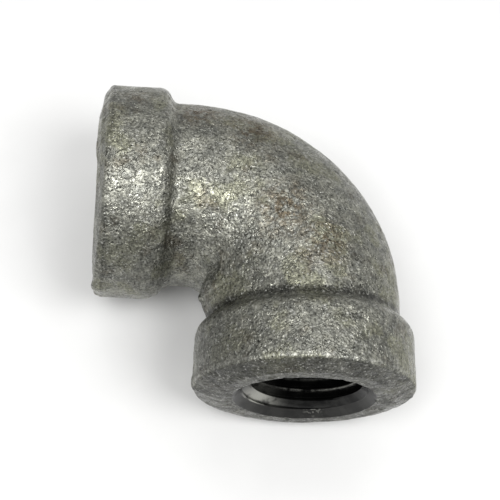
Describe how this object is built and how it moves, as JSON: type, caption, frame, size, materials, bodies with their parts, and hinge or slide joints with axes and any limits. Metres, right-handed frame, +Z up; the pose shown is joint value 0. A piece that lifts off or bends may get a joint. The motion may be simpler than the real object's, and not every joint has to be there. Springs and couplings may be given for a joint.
{
  "type": "pipe elbow",
  "caption": "Banded right-angle pipe elbow in galvanised cast iron, with an internal taper pipe thread in each end.",
  "frame": {"origin": "on the axis of the port that opens towards -Y, where its thread starts, 1.45 mm inside the mouth; the two port axes cross at (0, 16.05, 0) mm", "axes": "the elbow lies on its side with both port axes level; -Y points out of port_a, -X points out of port_b, +Z up"},
  "size_m": [0.0264, 0.0264, 0.0178],
  "materials": {
    "galvanised_iron": "hot-dip galvanised, mottled grey, satin with bright flecks"
  },
  "bodies": {
    "root": {"elbow_body": "galvanised_iron"}
  },
  "joints": []
}
